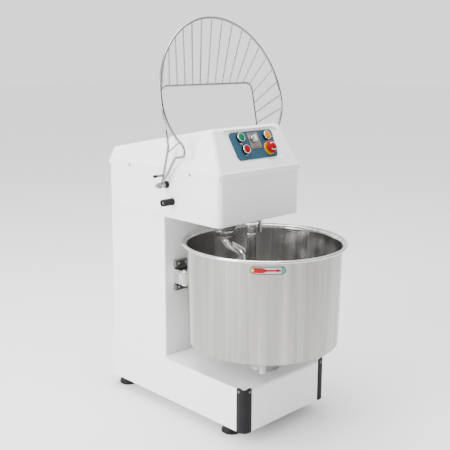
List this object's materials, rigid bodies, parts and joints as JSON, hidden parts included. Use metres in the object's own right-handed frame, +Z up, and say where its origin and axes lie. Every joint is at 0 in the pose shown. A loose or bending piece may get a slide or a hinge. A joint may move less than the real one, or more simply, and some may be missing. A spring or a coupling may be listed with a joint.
{
  "type": "spiral dough mixer",
  "caption": "Floor-standing spiral dough mixer with a turning stainless bowl, spiral hook, breaker bar, hinged wire guard, box head on a column and a sloped push-button panel.",
  "frame": {"origin": "on the floor, in the middle of the overall width and depth with the guard standing open", "axes": "+Z up, -Y towards the operator and the bowl, +X to the operator's right"},
  "size_m": [0.548, 0.86, 1.3132],
  "materials": {
    "white_paint": "satin",
    "white_plastic": "satin",
    "stainless": "polished satin",
    "bright_steel": "turned",
    "dark_steel": "oiled",
    "dark_iron": "painted matt",
    "chrome": "polished",
    "black_rubber": "matt",
    "black_plastic": "matt",
    "panel_blue": "satin film",
    "silver_plate": "satin",
    "white_knob": "gloss",
    "button_green": "gloss",
    "button_red": "gloss",
    "button_yellow": "gloss",
    "estop_yellow": "gloss",
    "label_plastic": "satin film",
    "nylon": "satin"
  },
  "bodies": {
    "frame": {"feet": "black_rubber", "base_tray": "white_paint", "base_casing": "white_paint", "base_front_panel": "white_paint", "corner_guard_left": "black_rubber", "corner_guard_right": "black_rubber", "casing_screws": "bright_steel", "column_casing": "white_paint", "column_rear_cover": "white_paint", "head_casing": "white_paint", "head_plate": "dark_iron", "lid": "white_plastic", "control_panel": "panel_blue", "timer_plate": "silver_plate", "button_bodies": "black_plastic", "estop_body": "estop_yellow", "bowl_bearing_housing": "dark_iron", "bearings": "bright_steel", "lay_shaft_support": "dark_iron", "drive_chains": "dark_steel", "spindle_housing": "dark_iron", "v_belts": "black_rubber", "breaker_bar": "stainless", "bar_nut": "bright_steel", "front_tab": "bright_steel", "motor": "dark_iron", "control_box": "black_plastic", "cable_gland": "black_plastic", "roller_bracket_left": "stainless", "roller_bracket_right": "stainless", "roller_pads": "dark_steel", "roller_pins": "bright_steel", "guard_switch": "black_plastic", "guard_bushes": "black_plastic", "guard_bumpers": "black_rubber"},
    "bowl_turntable": {"bowl": "stainless", "direction_label": "label_plastic", "bowl_spider": "dark_iron", "bowl_shaft": "bright_steel", "bowl_sprocket": "dark_steel"},
    "hook_unit": {"hook": "stainless", "hook_spindle": "bright_steel", "spindle_pulley": "dark_iron", "spindle_sprocket": "dark_steel"},
    "lay_unit": {"lay_shaft": "bright_steel", "lay_sprockets": "dark_steel"},
    "motor_rotor": {"motor_pulley": "dark_iron"},
    "roller_left": {"guide_roller_left": "nylon"},
    "roller_right": {"guide_roller_right": "nylon"},
    "guard": {"guard_inner_wire": "chrome", "guard_rim_wire": "chrome", "guard_spokes": "chrome", "guard_pivots": "chrome", "guard_cam": "bright_steel"},
    "start_key": {"start_button": "button_green"},
    "stop_key": {"stop_button": "button_red"},
    "jog_key": {"jog_button": "button_yellow"},
    "timer": {"timer_knob": "white_knob"},
    "estop_plunger": {"estop_stem": "bright_steel"},
    "estop_head": {"estop_mushroom": "button_red"}
  },
  "joints": [
    {"name": "bowl_spin", "type": "hinge", "parent": "frame", "child": "bowl_turntable", "pos_m": [0, -0.164, 0], "axis": [0, 0, 1], "continuous": true},
    {"name": "hook_spin", "type": "hinge", "parent": "frame", "child": "hook_unit", "pos_m": [-0.033, -0.017, 0], "axis": [0, 0, 1], "continuous": true},
    {"name": "lay_spin", "type": "hinge", "parent": "frame", "child": "lay_unit", "pos_m": [0.095, 0.17, 0], "axis": [0, 0, 1], "continuous": true},
    {"name": "motor_spin", "type": "hinge", "parent": "frame", "child": "motor_rotor", "pos_m": [-0.06, 0.3, 0], "axis": [0, 0, 1], "continuous": true},
    {"name": "roller_spin_left", "type": "hinge", "parent": "frame", "child": "roller_left", "pos_m": [-0.13092, 0.07219, 0], "axis": [0, 0, 1], "continuous": true},
    {"name": "roller_spin_right", "type": "hinge", "parent": "frame", "child": "roller_right", "pos_m": [0.13092, 0.07219, 0], "axis": [0, 0, 1], "continuous": true},
    {"name": "guard_hinge", "type": "hinge", "parent": "frame", "child": "guard", "pos_m": [0, 0.0925, 0.7836], "axis": [1, 0, 0], "range_deg": [0, 104]},
    {"name": "start_press", "type": "slide", "parent": "frame", "child": "start_key", "axis": [0, 0.8861, -0.4635], "range_m": [0, 0.004], "stiffness_N_per_m": 500},
    {"name": "stop_press", "type": "slide", "parent": "frame", "child": "stop_key", "axis": [0, 0.8861, -0.4635], "range_m": [0, 0.004], "stiffness_N_per_m": 500},
    {"name": "jog_press", "type": "slide", "parent": "frame", "child": "jog_key", "axis": [0, 0.8861, -0.4635], "range_m": [0, 0.004], "stiffness_N_per_m": 500},
    {"name": "timer_turn", "type": "hinge", "parent": "frame", "child": "timer", "pos_m": [0.012, -0.09938, 0.93208], "axis": [0, 0.8861, -0.4635], "range_deg": [0, 300]},
    {"name": "estop_press", "type": "slide", "parent": "frame", "child": "estop_plunger", "axis": [0, 0.8861, -0.4635], "range_m": [0, 0.005], "stiffness_N_per_m": 1500},
    {"name": "estop_release", "type": "hinge", "parent": "estop_plunger", "child": "estop_head", "pos_m": [0.07, -0.1163, 0.89973], "axis": [0, 0.8861, -0.4635], "range_deg": [0, 45], "stiffness_Nm_per_rad": 0.2}
  ],
  "couplings": [
    {"joint": "lay_spin", "follows": "bowl_spin", "ratio": 3.5},
    {"joint": "hook_spin", "follows": "bowl_spin", "ratio": 10.5},
    {"joint": "motor_spin", "follows": "bowl_spin", "ratio": 47.04},
    {"joint": "roller_spin_left", "follows": "bowl_spin", "ratio": -11.822},
    {"joint": "roller_spin_right", "follows": "bowl_spin", "ratio": -11.822}
  ]
}
